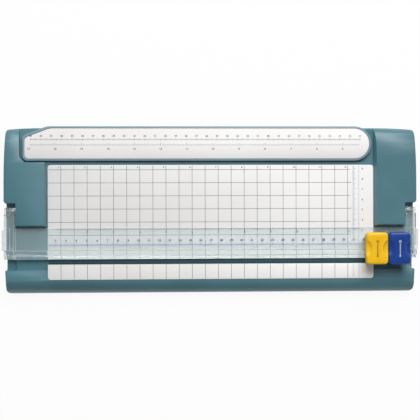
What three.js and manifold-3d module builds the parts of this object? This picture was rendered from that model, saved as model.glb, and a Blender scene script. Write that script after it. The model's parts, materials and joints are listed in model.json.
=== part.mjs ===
// Rotary paper trimmer: a moulded base with a printed table, a clear hinged guide arm that carries a
// cutting carriage and a scoring carriage on one rail, and a ruler arm that swings out behind.
// Millimetres. X runs to the right along the cutting line, Y to the back, Z up.
// The origin is the middle of the whole object, on the surface that it stands on.
import * as THREE from "three";
import { mergeVertices } from "three/addons/utils/BufferGeometryUtils.js";
import Module from "manifold-3d";

const wasm = await Module();
wasm.setup();

// ---- Driving dimensions ----

// General fits
const seatGap = 0.2; // adhesive or assembly gap between two fixed pieces
const edgeGap = 0.3; // gap round an inlaid or dropped-in piece
const runGap = 0.1; // radial gap of a turning fit
const slideGap = 0.35; // gap of a sliding fit
const tipGap = 0.5; // least gap between a moving piece and what it passes

// Plan of the base, measured from the printed table and the cutting line
const plateWidth = 317.5; // 12.5 in
const tableDepth = 93.6; // from the cutting line to the back of the table plate
const frontPlateReach = 17.6; // from the cutting line to the front of the front plate
const noseLength = 12.6; // the rolled front edge
const noseLedge = 0.8; // deck between the front plate and the rolled edge
const capWidth = 41.75; // each end cap, from the table to the outside
const rulerWidth = 33.6;
const rulerFrontGap = 1.4; // gap between the ruler arm and the front wall of its bay
const rulerProud = 1.5; // how far the ruler arm stands out behind the base
const bayLedge = 2.4; // deck between the table and the ruler arm's bay

// Heights and walls of the base
const wall = 2.4;
const footHeight = 1.6; // how far the feet hold the base off the table
const deckTop = 15.6; // top of the deck round the printed plates
const capRise = 7; // end caps over the deck
const capBevel = 2.6;
const deckBevel = 1.4;
const capInnerLean = 2.2; // how far a cap's inner wall leans outwards over its height
const capRoll = 36; // length over which a cap rolls down to the back
const capRollSteep = 12; // length of its steeper last part
const capBackHeight = 9; // height at which the roll meets the back wall
const capFrontDraft = 0.5; // how far a cap's front leans back
const capFrontRadius = 2;
const backCorner = 3.6; // radius of the base's back corners in plan
const frontCorner = 4.4;
const backTaper = 2; // how much narrower each side is at the back
const backFall = 1.6; // how far the back edge curves forward towards its corners
const frontTaper = 1.8; // how much narrower each side is at the front edge
const frontShoulder = 0.6; // the same beside the channel
const backShoulder = 20; // length of straight side behind the side arms' slots
const noseStart = 5.2; // height at which the front wall starts to roll over
const noseReach = 2; // handle of the roll's curve, behind the front wall
const noseDrop = 2.6; // and under the deck
const backEdgeChamfer = 1.6; // of the bay floor's back edge

// Printed plates
const plateThickness = 1;
const plateInlay = 0.8; // depth of the plates' recesses
const plateCorner = 2.8;

// Groove along the cutting line, channel and finger wells beside the plates
const grooveWidth = 4.6;
const grooveBack = 2; // from the cutting line to the groove's back wall
const stripHeight = 2.4;
const stripWidth = 3.8;
const channelReach = 8.5; // from the cutting line to the channel's front wall
const wellFloor = 7;

// Ruler arm and its bay
const rulerPivotInset = 19.05; // 3/4 in from the right edge of the table
const rulerOverhang = 24.05; // how far the free end reaches past the table's left edge
const rulerThickness = 4.6;
const rulerLift = 0.4; // running gap under the arm
const rulerRim = 2.2;
const rulerWeb = 1.4;
const rulerCorner = 5;
const rulerClipRound = 3; // rounding at both ends of the clipped corner
const rulerEdge = 0.6; // rounding of the rim's top edge
const rulerClipX = 24;
const rulerClipY = 9.3;
const rulerRibPitch = 45;
const bayDepth = 2; // bay floor under the deck
const bayEndGap = 2.4; // gap between the free end and the wall of its bay
const bayEndLean = 0.6; // how far the bay's end wall leans out towards the back
const pivotBossRadius = 5;
const pivotBossPad = 4; // wall round the boss under the arm
const ribFreePivot = 20; // length without ribs beside the pivot
const pivotScrewRadius = 1.5;
const pivotHeadRadius = 4.2;
const pivotHeadHeight = 1.8;
const washerRadius = 8;
const washerThickness = 0.8;

// Guide arm: a clear panel with a T-shaped rail, two side arms and hinge eyes
const capFrontReach = 34.2; // from the cutting line to the front of the end caps
const hingeInset = 14.5; // hinge axis behind the front of the caps
const eyeRadius = 3.5;
const eyeLength = 7.4;
const hingePinRadius = 1.5;
const hingePinGrip = 3.5; // length of pin held in the cap wall
const slotWidth = 11.7; // slots that the side arms lie in, from the outside of the base
const slotDepth = 3; // slot floor under the deck
const slotBackGap = 4.4; // open pocket behind the hinge eyes
const outlineStep = 1.9; // how much narrower the base is beside the side arms
const sideArmGap = 0.6;
const sideArmWidth = 10.9;
const sideSkirt = 4.4; // how far the outer rib hangs under the panel's underside
const ribFoot = 4; // length over which a rib deepens behind the panel's front edge
const ribHeel = 1.5; // chamfer at its back end
const panelDepth = 29.8;
const panelFrontGap = 2.4; // from the cutting line to the panel's front edge
const panelLift = 0.6; // paper gap over the plates
const panelThickness = 2.4;
const railInset = 3; // rail behind the panel's front edge
const railWidth = 6.2;
const railNeck = 3.8;
const railNeckHeight = 2.2;
const railHeadHeight = 1.6;
const ribThickness = 1.6;
const outerRibThickness = 1.3;
const ribStand = 0.2; // height of the inner ribs over the panel
const stepStand = 2.2; // height of the short stiffening ribs
const stepInset = 5.5; // from the outside of a side arm
const stopInset = 7.9; // inner face of the rail's end stops, from the outside of a side arm
const stopOverhang = 2; // how far a stop stands out at the front and back of the rail
const stopDrop = 0.4; // and how much lower than the rail it is
const tabReach = 2.7;
const tabLength = 21;
const tabThickness = 2.2;
const tabRise = 1.2; // over the outer rib's lower edge
const tabCorner = 2.4;
const tabInset = 18.1; // middle of a finger tab behind the panel's front edge

// Carriages: a shoe on the rail, and a cap with its wheel that is pressed down on a spring
const carriageDepth = 30.8;
const carriageCorner = 3.6;
const carriageGap = 0.8; // between the two parked carriages
const parkGap = 0.4; // between the parked scoring carriage and the rail's end stop
const pressTravel = 2.5;
const pressSlack = 0.3;
const capWall = 1.2;
const capRoof = 1.6;
const capEdge = 1.8; // rounding of the cap's top edge
const flangeLift = 0.9; // flange over the panel
const flangeHeight = 2.9;
const flangeInset = 0.9; // the flange is smaller than the cap by this all round
const stemHeight = 4.4;
const hookReach = 1.8; // the shoe's hooks past the rail's head
const scoopRadius = 9.5; // in plan, of the ellipsoid that cuts a scoop
const scoopHeight = 4; // half its height
const scoopRise = 1; // height of its centre over the cap's top
const scoopOut = 3.7; // distance of its centre from the cap's side
const labelWidth = 3.4;
const labelLength = 18;
const labelThickness = 0.4;
const wheelRadius = 6.5;
const wheelRise = 1; // gap between the wheel at rest and the plates' top
const wheelEndGap = 2.9;
const wheelBevel = 2;
const wheelClear = 0.5; // gap before and behind the wheel where it passes the shoe
const cutWheelThickness = 0.6;
const cutWheelEdge = 0.1;
const scoreWheelThickness = 0.9;
const scoreWheelEdge = 0.6;
const wheelSideGap = 0.25;
const axleRadius = 1.05;
const forkLeg = 1.1;
const forkHalfWidth = 4.4;
const forkBridge = 1.8;
const springRadius = 3.2;
const springWire = 0.4;
const springTurns = 6;
const springSetback = 4.2; // from the rail to the spring
const springSeatDepth = 1.5;

// Bottom cover, feet and screws
const coverThickness = 2.4;
const footRadius = 6;
const footInlay = 1;
const footChamfer = 1.2;
const footInsetX = 27;
const footInsetFront = 11;
const footInsetBack = 15.5;
const screwRadius = 1.25;
const screwHeadRadius = 2.8;
const screwHeadHeight = 1.2;
const screwLength = 8;
const screwTip = 1.2;
const screwSocketRadius = 1.1;
const screwSocketDepth = 0.7;
const screwInsetX = 8.75; // from the table's edge
const screwInsetFront = 12; // from the cutting line
const screwInsetBack = 13.6; // from the table's back edge
const bossRadius = 3.4;
const ribWeb = 1.4;
const ribCount = 7; // cross ribs under the table
const longRibShares = [0.3, 0.62]; // places of the long ribs between the cutting line and the table's back
const ribSink = 0.2; // how far ribs and bosses run into the walls that they stand on
const ribLift = 1.5; // ribs over the bosses' lower end
const stripInset = 0.5; // strip's end in from the table's side

// ---- Sizes worked out from the driving dimensions ----

const baseWidth = plateWidth + 2 * capWidth;
const halfBase = baseWidth / 2;
const halfPlate = plateWidth / 2;
const backReach = tableDepth + bayLedge + rulerFrontGap + rulerWidth;
const frontReach = frontPlateReach + noseLedge + noseLength;
const cutLineY = (frontReach - backReach) / 2;
const frontY = cutLineY - frontReach;
const tableBackY = cutLineY + tableDepth;
const bayFrontY = tableBackY + bayLedge;
const rulerBackY = bayFrontY + rulerFrontGap + rulerWidth;
const backY = rulerBackY - rulerProud;
const frontPlateFrontY = cutLineY - frontPlateReach;
const grooveBackY = cutLineY + grooveBack;
const grooveFrontY = grooveBackY - grooveWidth;
const channelFrontY = cutLineY - channelReach;
const capFrontY = cutLineY + capFrontReach;
const hingeY = capFrontY + hingeInset;
const slotBackY = hingeY + eyeRadius + slotBackGap;

const plateTop = deckTop - plateInlay + seatGap + plateThickness;
const capTop = deckTop + capRise;
const capInner = halfPlate + edgeGap;
const deckCeiling = deckTop - plateInlay - wall;
const coverTop = footHeight + coverThickness;
const bossBottom = coverTop + seatGap;
const stripTop = plateTop + wheelRise - pressTravel - tipGap;
const grooveFloor = stripTop - stripHeight - seatGap;
const slotFloor = deckTop - slotDepth;
const slotInner = halfBase - slotWidth;
const slotOutline = halfBase - outlineStep;

const rulerPivotX = halfPlate - rulerPivotInset;
const rulerPivotY = rulerBackY - rulerWidth / 2;
const rulerFreeX = -halfPlate - rulerOverhang;
const bayFloor = deckTop - bayDepth;
const bayEndX = rulerFreeX - bayEndGap;
const rulerBottom = bayFloor + rulerLift;
const rulerTop = rulerBottom + rulerThickness;
const washerTop = bayFloor - wall - edgeGap - seatGap;

const hingeZ = slotFloor + eyeRadius + tipGap;
const sideInner = slotInner + sideArmGap;
const sideOuter = sideInner + sideArmWidth;
const panelFrontY = cutLineY + panelFrontGap;
const panelBackY = panelFrontY + panelDepth;
const panelBottom = plateTop + panelLift;
const panelTop = panelBottom + panelThickness;
const headBottom = panelTop + railNeckHeight;
const railTop = headBottom + railHeadHeight;
const railFrontY = panelFrontY + railInset;
const railBackY = railFrontY + railWidth;
const railMiddleY = railFrontY + railWidth / 2;
const stopX = sideOuter - stopInset;
const tabMiddleY = panelFrontY + tabInset;

const carriageWidth = 2 * (wheelRadius + wheelEndGap + capWall);
const scoreX = stopX - parkGap - carriageWidth / 2;
const cutX = scoreX - carriageWidth - carriageGap;
const forkHalf = scoreWheelThickness / 2 + wheelSideGap + forkLeg;
const carriageFrontY = cutLineY - forkHalf - edgeGap - capWall;
const carriageMiddleY = carriageFrontY + carriageDepth / 2;
const flangeBottom = panelTop + flangeLift;
const flangeTop = flangeBottom + flangeHeight;
const shoeTop = flangeTop + stemHeight;
const capBottom = flangeTop + pressTravel + pressSlack;
const wheelZ = plateTop + wheelRise + wheelRadius;
const forkTop = wheelZ + wheelRadius + slideGap + forkBridge;
const roofZ = forkTop + seatGap;
const carriageTop = roofZ + capRoof;
const springSeatZ = flangeBottom + springSeatDepth;
const springY = railBackY + springRadius + springSetback;

const above = capTop + 5; // cutters reach past the solids that they cut
const outside = halfBase + 5;

// ---- Shape helpers ----

const X = new THREE.Vector3(1, 0, 0);
const Y = new THREE.Vector3(0, 1, 0);
const Z = new THREE.Vector3(0, 0, 1);

// A closed three.js geometry as a manifold solid.
function solid(geometry) {
  const bare = geometry.clone();
  bare.deleteAttribute("normal");
  bare.deleteAttribute("uv");
  const merged = mergeVertices(bare, 1e-4);
  return new wasm.Manifold(
    new wasm.Mesh({
      numProp: 3,
      vertProperties: merged.attributes.position.array,
      triVerts: new Uint32Array(merged.index.array),
    }),
  );
}

function join(first, ...rest) {
  return rest.reduce((all, next) => all.add(next), first);
}

function cut(first, ...rest) {
  return rest.reduce((all, next) => all.subtract(next), first);
}

// A named mesh from a manifold solid.
function piece(name, shape, material) {
  const mesh = shape.getMesh();
  const geometry = new THREE.BufferGeometry();
  geometry.setAttribute("position", new THREE.BufferAttribute(mesh.vertProperties, 3));
  geometry.setIndex(new THREE.BufferAttribute(mesh.triVerts, 1));
  geometry.computeVertexNormals();
  const made = new THREE.Mesh(geometry, material);
  made.name = name;
  return made;
}

function box(x0, x1, y0, y1, z0, z1) {
  const g = new THREE.BoxGeometry(x1 - x0, y1 - y0, z1 - z0);
  return solid(g.translate((x0 + x1) / 2, (y0 + y1) / 2, (z0 + z1) / 2));
}

// The same box on the other side of the middle when side is -1.
function sideBox(side, x0, x1, ...rest) {
  const [low, high] = side > 0 ? [x0, x1] : [-x1, -x0];
  return box(low, high, ...rest);
}

function rodZ(x, y, radius, z0, z1, sides = 24) {
  const g = new THREE.CylinderGeometry(radius, radius, z1 - z0, sides).rotateX(Math.PI / 2);
  return solid(g.translate(x, y, (z0 + z1) / 2));
}

function rodX(y, z, radius, x0, x1, sides = 24) {
  const g = new THREE.CylinderGeometry(radius, radius, x1 - x0, sides).rotateZ(Math.PI / 2);
  return solid(g.translate((x0 + x1) / 2, y, z));
}

function rodY(x, z, radius, y0, y1, sides = 24) {
  const g = new THREE.CylinderGeometry(radius, radius, y1 - y0, sides);
  return solid(g.translate(x, (y0 + y1) / 2, z));
}

// An outline in X and Y, raised from z0 to z1.
function prism(shape, z0, z1, curveSegments = 6) {
  const g = new THREE.ExtrudeGeometry(shape, { depth: z1 - z0, bevelEnabled: false, curveSegments });
  return solid(g.translate(0, 0, z0));
}

// The same with its top edge rounded; the rounded lower edge is cut off at z0.
function roundedPrism(shape, z0, z1, radius, curveSegments = 6, steps = 3) {
  const start = z0 - 2 * radius;
  const g = new THREE.ExtrudeGeometry(shape, {
    depth: z1 - start - 2 * radius,
    bevelThickness: radius,
    bevelSize: radius,
    bevelOffset: -radius,
    bevelSegments: steps,
    curveSegments,
  }).translate(0, 0, start + radius);
  const reach = 1000;
  return cut(solid(g), box(-reach, reach, -reach, reach, start - radius, z0));
}

// An outline in Y and Z, drawn out from x0 to x1.
function alongX(shape, x0, x1, curveSegments = 8) {
  const g = new THREE.ExtrudeGeometry(shape, { depth: x1 - x0, bevelEnabled: false, curveSegments });
  g.applyMatrix4(new THREE.Matrix4().makeBasis(Y, Z, X));
  return solid(g.translate(x0, 0, 0));
}

// An outline in X and Z, drawn out from y0 to y1.
function alongY(shape, y0, y1, curveSegments = 8) {
  const g = new THREE.ExtrudeGeometry(shape, { depth: y1 - y0, bevelEnabled: false, curveSegments });
  g.applyMatrix4(new THREE.Matrix4().makeBasis(X, Z, Y.clone().negate()));
  return solid(g.translate(0, y1, 0));
}

// A turned piece: radius and height pairs from the bottom of the axis to its top.
function turned(pairs, x, y, sides = 24) {
  const points = pairs.map(([radius, height]) => new THREE.Vector2(radius, height));
  const g = new THREE.LatheGeometry(points, sides).rotateX(Math.PI / 2);
  return solid(g.translate(x, y, 0));
}

function polygon(points) {
  return new THREE.Shape(points.map(([u, v]) => new THREE.Vector2(u, v)));
}

function roundedRectangle(x0, x1, y0, y1, r) {
  const s = new THREE.Shape();
  s.moveTo(x0 + r, y0);
  s.lineTo(x1 - r, y0);
  s.absarc(x1 - r, y0 + r, r, -Math.PI / 2, 0);
  s.lineTo(x1, y1 - r);
  s.absarc(x1 - r, y1 - r, r, 0, Math.PI / 2);
  s.lineTo(x0 + r, y1);
  s.absarc(x0 + r, y1 - r, r, Math.PI / 2, Math.PI);
  s.lineTo(x0, y0 + r);
  s.absarc(x0 + r, y0 + r, r, Math.PI, 1.5 * Math.PI);
  return s;
}

// ---- Materials ----

function material(color, roughness, metalness = 0, extra = {}) {
  return new THREE.MeshStandardMaterial({ color, roughness, metalness, ...extra });
}

const tealPlastic = material(0x47757f, 0.45);
const darkPlastic = material(0x2f545c, 0.6);
const rulerPlastic = material(0x6a8790, 0.5);
const whitePlate = material(0xeceaec, 0.35);
const clearPlastic = material(0xdfe9e8, 0.12, 0, { transparent: true, opacity: 0.35 });
const yellowPlastic = material(0xf6bf16, 0.35);
const bluePlastic = material(0x0b3b96, 0.35);
const blackPlastic = material(0x24282b, 0.55);
const labelFilm = material(0xd8d8d2, 0.5);
const rubber = material(0x1d1e20, 0.85);
const steel = material(0xb9bcc0, 0.3, 1);

// ---- Base housing ----

// Half of the plan outline, right of the middle, from the front to the back, drawn in by inset.
function halfOutline(inset) {
  const front = frontY + inset;
  const back = backY - inset;
  const side = halfBase - inset;
  const beside = slotOutline - inset;
  const frontSide = side - frontTaper;
  const backSide = side - backTaper;
  const fallY = back - backFall;
  const path = new THREE.Path();
  path.moveTo(0, front);
  path.lineTo(frontSide - frontCorner, front);
  path.quadraticCurveTo(frontSide, front, frontSide + frontShoulder / 2, front + frontCorner);
  path.lineTo(side - frontShoulder, channelFrontY - frontShoulder - inset / 2);
  path.lineTo(beside, channelFrontY + outlineStep / 2 - inset / 2);
  path.lineTo(beside, slotBackY - outlineStep / 2 + inset / 2);
  path.lineTo(side, slotBackY + outlineStep + inset / 2);
  path.lineTo(side, slotBackY + backShoulder);
  path.quadraticCurveTo(side, (backY + slotBackY + backShoulder) / 2, backSide, fallY - backCorner);
  path.quadraticCurveTo(backSide - backTaper / backCorner, fallY, backSide - backCorner, fallY);
  path.quadraticCurveTo((side + halfPlate) / 2, back, halfPlate, back);
  path.lineTo(0, back);
  return path.getPoints(6);
}

function outline(inset) {
  const right = halfOutline(inset);
  const left = right
    .slice(1, -1)
    .reverse()
    .map((p) => new THREE.Vector2(-p.x, p.y));
  return new THREE.Shape([...right, ...left]);
}

// The rolled front edge, as a curve from the front wall to the deck.
function nose(shape, inset) {
  const front = frontY + inset;
  const endY = frontY + noseLength;
  const top = deckTop - (inset > 0 ? plateInlay + inset : 0);
  shape.lineTo(front, noseStart);
  shape.quadraticCurveTo(front + noseReach, top - noseDrop, endY, top);
}

function deckProfile() {
  const s = new THREE.Shape();
  s.moveTo(frontY, footHeight);
  nose(s, 0);
  s.lineTo(bayFrontY, deckTop);
  s.lineTo(bayFrontY, bayFloor);
  s.lineTo(backY - backEdgeChamfer, bayFloor);
  s.lineTo(backY, bayFloor - backEdgeChamfer);
  s.lineTo(backY, footHeight);
  return s;
}

function deckHollowProfile() {
  const s = new THREE.Shape();
  s.moveTo(frontY + wall, 0);
  nose(s, wall);
  s.lineTo(channelFrontY - wall, deckCeiling);
  s.lineTo(channelFrontY - wall, grooveFloor - wall);
  s.lineTo(grooveBackY + wall, grooveFloor - wall);
  s.lineTo(grooveBackY + wall, deckCeiling);
  s.lineTo(bayFrontY - wall, deckCeiling);
  s.lineTo(bayFrontY - wall, bayFloor - wall);
  s.lineTo(backY - wall, bayFloor - wall);
  s.lineTo(backY - wall, 0);
  return s;
}

// Side view of an end cap, which rolls down towards the back.
function capProfile(inset, bottom) {
  const front = capFrontY + inset;
  const back = backY - inset;
  const top = capTop - inset;
  const r = capFrontRadius;
  const s = new THREE.Shape();
  s.moveTo(front - capFrontDraft, bottom);
  s.lineTo(front, top - r);
  s.quadraticCurveTo(front, top, front + r, top);
  s.lineTo(back - capRoll, top);
  s.bezierCurveTo(back - capRollSteep, top, back, top - r, back, capBackHeight);
  s.lineTo(back, bottom);
  return s;
}

// Front view of both end caps, with their leaning inner walls.
function capSection(side) {
  const points = [
    [capInner, footHeight],
    [outside, footHeight],
    [outside, above],
    [capInner + capInnerLean, above],
    [capInner + capInnerLean, capTop],
    [capInner, deckTop],
  ].map(([x, z]) => [side * x, z]);
  return polygon(side > 0 ? points : points.reverse());
}

function endCap(side) {
  const [x0, x1] = side > 0 ? [capInner, outside] : [-outside, -capInner];
  return alongX(capProfile(0, footHeight), x0, x1)
    .intersect(alongY(capSection(side), frontY, backY + 1))
    .intersect(roundedPrism(outline(0), footHeight, capTop, capBevel));
}

// The bay that the ruler arm lies in, where it passes through the left end cap.
function rulerBay() {
  const r = rulerCorner + bayEndGap;
  const innerEnd = capInnerLean - capInner; // just inside the table's edge
  const behind = rulerBackY + bayEndGap;
  const s = new THREE.Shape();
  s.moveTo(bayEndX + r, bayFrontY);
  s.lineTo(innerEnd, bayFrontY);
  s.lineTo(innerEnd, behind);
  s.lineTo(bayEndX - bayEndLean, behind);
  s.lineTo(bayEndX, bayFrontY + r);
  s.absarc(bayEndX + r, bayFrontY + r, r, Math.PI, 1.5 * Math.PI);
  return prism(s, bayFloor, above);
}

const screwSpots = [-1, 0, 1].flatMap((side) => [
  [side * (halfPlate - screwInsetX), tableBackY - screwInsetBack],
  [side * (halfPlate - screwInsetX), cutLineY + screwInsetFront],
]);
const footSpots = [-1, 0, 1].flatMap((side) => [
  [side * (halfBase - footInsetX), backY - footInsetBack],
  [side * (halfBase - footInsetX), frontY + footInsetFront],
]);

function deckHollow() {
  const low = prism(outline(wall), 0, capTop).intersect(alongX(deckHollowProfile(), -halfBase, halfBase));
  const keep = [];
  for (const side of [-1, 1]) {
    const under = slotInner - wall;
    keep.push(sideBox(side, under, halfBase, channelFrontY, slotBackY + wall, slotFloor - wall, capTop));
    keep.push(sideBox(side, under, halfBase, channelFrontY - wall, grooveBackY + wall, bossBottom, capTop));
  }
  return cut(low, ...keep);
}

function capHollow(side) {
  const inner = capInner + capInnerLean + wall;
  const outer = slotInner - hingePinGrip - wall / 2;
  const backPart = prism(outline(wall), bossBottom, capTop);
  const upper = alongX(capProfile(wall, bossBottom), -halfBase, halfBase).intersect(backPart);
  if (side > 0) {
    return upper.intersect(
      join(
        box(inner, halfBase, slotBackY + wall, backY, bossBottom, capTop),
        box(inner, outer, capFrontY, slotBackY + wall + 1, bossBottom, capTop),
      ),
    );
  }
  return upper.intersect(
    join(
      box(-outer, -inner, capFrontY, bayFrontY - wall, bossBottom, capTop),
      box(-halfBase, bayEndX - wall, slotBackY + wall, backY, bossBottom, capTop),
      box(-halfBase, -outer + 1, slotBackY + wall, bayFrontY - wall, bossBottom, capTop),
    ),
  );
}

// Openings for the side arms, finger wells, channel and hinge pins at one end.
function endCuts(side) {
  const pinHole = rodX(hingeY, hingeZ, hingePinRadius + runGap, slotInner - hingePinGrip - seatGap, outside);
  return [
    sideBox(side, slotInner, outside, grooveBackY, slotBackY, slotFloor, above),
    sideBox(side, slotInner, outside, channelFrontY, grooveBackY + runGap, wellFloor, above),
    sideBox(side, halfPlate, slotInner + runGap, channelFrontY, grooveBackY, grooveFloor, above),
    side > 0 ? pinHole : pinHole.rotate([0, 0, 180]).translate([0, 2 * hingeY, 0]),
  ];
}

// A plate's outline with rounded corners at one end of its depth and square ones at the groove.
function plateSheet(gap, [y0, y1], squareAtBack, z0, z1) {
  const x = halfPlate + gap;
  const r = plateCorner;
  const longer = squareAtBack ? [y0, y1 + 2 * r] : [y0 - 2 * r, y1];
  return prism(roundedRectangle(-x, x, ...longer, r), z0, z1).intersect(box(-x, x, y0, y1, z0, z1));
}

function plateRecesses() {
  const floor = deckTop - plateInlay;
  return [
    plateSheet(edgeGap, [grooveBackY - runGap, tableBackY + edgeGap], false, floor, above),
    plateSheet(edgeGap, [frontPlateFrontY - edgeGap, grooveFrontY + runGap], true, floor, above),
  ];
}

function topHousing() {
  const deck = alongX(deckProfile(), -outside, outside).intersect(
    roundedPrism(outline(0), footHeight, deckTop, deckBevel),
  );
  let body = join(deck, endCap(-1), endCap(1));
  body = cut(body, rulerBay(), deckHollow(), capHollow(-1), capHollow(1));
  body = cut(body, ...endCuts(-1), ...endCuts(1), ...plateRecesses());
  body = cut(body, box(-slotInner, slotInner, grooveFrontY, grooveBackY, grooveFloor, capTop));
  const ribTop = deckCeiling + ribSink;
  const ribBottom = bossBottom + ribLift;
  const ribs = [];
  for (const share of longRibShares) {
    const y = cutLineY + share * tableDepth;
    ribs.push(box(-halfPlate, halfPlate, y, y + ribWeb, ribBottom, ribTop));
  }
  for (let i = 1; i <= ribCount; i++) {
    const x = -halfPlate + (i * plateWidth) / (ribCount + 1) - bossRadius - 2 * ribWeb;
    const ribBack = bayFrontY - wall + ribSink;
    ribs.push(box(x, x + ribWeb, grooveBackY + wall - ribSink, ribBack, ribBottom, ribTop));
  }
  const bosses = screwSpots.map(([x, y]) => rodZ(x, y, bossRadius, bossBottom, ribTop, 20));
  body = join(body, ...ribs, ...bosses);
  const pilots = screwSpots.map(([x, y]) =>
    rodZ(x, y, screwRadius + runGap, 0, footHeight + screwHeadHeight + screwLength + tipGap, 16),
  );
  const pivotHole = rodZ(rulerPivotX, rulerPivotY, pivotBossRadius + runGap, bossBottom, capTop, 32);
  return cut(body, ...pilots, pivotHole);
}

function bottomCover() {
  const shell = prism(outline(wall + edgeGap), footHeight, coverTop);
  const holes = screwSpots.flatMap(([x, y]) => [
    rodZ(x, y, screwRadius + edgeGap, 0, above, 16),
    rodZ(x, y, screwHeadRadius + edgeGap, 0, footHeight + screwHeadHeight + seatGap, 20),
  ]);
  const seats = footSpots.map(([x, y]) => rodZ(x, y, footRadius + edgeGap, 0, footHeight + footInlay));
  return cut(shell, ...holes, ...seats);
}

function foot([x, y]) {
  const top = footHeight + footInlay - seatGap;
  const r = footRadius;
  const c = footChamfer;
  return turned([[0, 0], [r - c, 0], [r - c / 3, c / 3], [r, c], [r, top], [0, top]], x, y);
}

function coverScrew([x, y]) {
  const head = footHeight + seatGap / 2;
  const neck = head + screwHeadHeight;
  const end = neck + screwLength;
  const r = screwHeadRadius;
  const socket = screwSocketRadius;
  const seat = head + screwSocketDepth;
  const c = screwHeadHeight / 3;
  return turned(
    [
      [0, seat], [socket, seat], [socket, head], [r - c, head], [r, head + c], [r, neck],
      [screwRadius, neck], [screwRadius, end - screwTip], [screwRadius / 4, end], [0, end],
    ],
    x, y, 12,
  );
}

function tablePlate() {
  const z = deckTop - plateInlay + seatGap;
  return plateSheet(0, [grooveBackY + edgeGap, tableBackY], false, z, plateTop);
}

function frontPlate() {
  const z = deckTop - plateInlay + seatGap;
  return plateSheet(0, [frontPlateFrontY, grooveFrontY - edgeGap], true, z, plateTop);
}

function cuttingStrip() {
  const x = halfPlate - stripInset;
  const y = (grooveBackY + grooveFrontY) / 2;
  const z = grooveFloor + seatGap;
  return box(-x, x, y - stripWidth / 2, y + stripWidth / 2, z, z + stripHeight);
}

// ---- Ruler arm ----

function rulerOutline(inset) {
  const r = rulerWidth / 2 - inset;
  const front = rulerPivotY - r;
  const back = rulerPivotY + r;
  const left = rulerFreeX + inset;
  const c = rulerCorner - inset / 2;
  const round = rulerClipRound;
  const slope = rulerClipY / rulerClipX;
  const s = new THREE.Shape();
  s.moveTo(left + c, front);
  s.lineTo(rulerPivotX, front);
  s.absarc(rulerPivotX, rulerPivotY, r, -Math.PI / 2, Math.PI / 2);
  s.lineTo(left + rulerClipX + round, back);
  s.quadraticCurveTo(left + rulerClipX, back, left + rulerClipX - round, back - round * slope);
  s.lineTo(left + round, back - rulerClipY + round * slope);
  s.quadraticCurveTo(left, back - rulerClipY, left, back - rulerClipY - round);
  s.lineTo(left, front + c);
  s.absarc(left + c, front + c, c, Math.PI, 1.5 * Math.PI);
  return s;
}

function rulerFrame() {
  const body = roundedPrism(rulerOutline(0), rulerBottom, rulerTop, rulerEdge, 12, 2);
  const recess = prism(rulerOutline(rulerRim - edgeGap), rulerTop - plateInlay, above, 12);
  const webBottom = rulerTop - plateInlay - rulerWeb;
  const ribTop = webBottom + rulerWeb / 2;
  let under = prism(rulerOutline(rulerRim), 0, webBottom, 12);
  const ribs = [];
  for (let x = rulerFreeX + rulerRibPitch; x < rulerPivotX - ribFreePivot; x += rulerRibPitch) {
    ribs.push(box(x, x + ribWeb, bayFrontY, rulerBackY, 0, ribTop));
  }
  ribs.push(rodZ(rulerPivotX, rulerPivotY, pivotBossRadius + pivotBossPad, 0, ribTop));
  under = cut(under, ...ribs);
  const bossEnd = bayFloor - wall - edgeGap;
  const boss = rodZ(rulerPivotX, rulerPivotY, pivotBossRadius, bossEnd, ribTop, 32);
  const pilot = rodZ(rulerPivotX, rulerPivotY, pivotScrewRadius + runGap, 0, webBottom + ribSink, 20);
  return cut(join(cut(body, recess, under), boss), pilot);
}

function rulerPlate() {
  const z = rulerTop - plateInlay + seatGap;
  return prism(rulerOutline(rulerRim), z, rulerTop, 12);
}

function pivotWasher() {
  const z = washerTop - washerThickness;
  const ring = rodZ(rulerPivotX, rulerPivotY, washerRadius, z, washerTop);
  return cut(ring, rodZ(rulerPivotX, rulerPivotY, pivotScrewRadius + runGap, 0, above, 20));
}

function pivotScrew() {
  const under = washerTop - washerThickness - seatGap;
  const head = under - pivotHeadHeight;
  const tip = rulerTop - plateInlay - rulerWeb - seatGap;
  const r = pivotHeadRadius;
  const socket = r / 3;
  const seat = head + pivotHeadHeight / 2;
  const c = pivotHeadHeight / 4;
  return turned(
    [
      [0, seat], [socket, seat], [socket, head], [r - c, head], [r, head + c], [r, under],
      [pivotScrewRadius, under], [pivotScrewRadius, tip], [0, tip],
    ],
    rulerPivotX, rulerPivotY, 20,
  );
}

// ---- Guide arm ----

function railSection(gap) {
  const n = railNeck / 2 + gap;
  const h = railWidth / 2 + gap;
  const bottom = gap > 0 ? 0 : panelTop - ribSink;
  return polygon([
    [railMiddleY - n, bottom],
    [railMiddleY + n, bottom],
    [railMiddleY + n, headBottom - gap],
    [railMiddleY + h, headBottom - gap],
    [railMiddleY + h, railTop + gap],
    [railMiddleY - h, railTop + gap],
    [railMiddleY - h, headBottom - gap],
    [railMiddleY - n, headBottom - gap],
  ]);
}

// Side view of an upright rib of a side arm, from the hinge eye to the front edge.
function sideRib(bottom, top, startY) {
  const s = new THREE.Shape();
  s.moveTo(panelFrontY, panelBottom - ribStand);
  s.lineTo(panelFrontY + ribFoot, bottom);
  s.lineTo(startY - ribHeel, bottom);
  s.lineTo(startY, bottom + ribHeel);
  s.lineTo(startY, top);
  s.lineTo(panelFrontY, top);
  return s;
}

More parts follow.
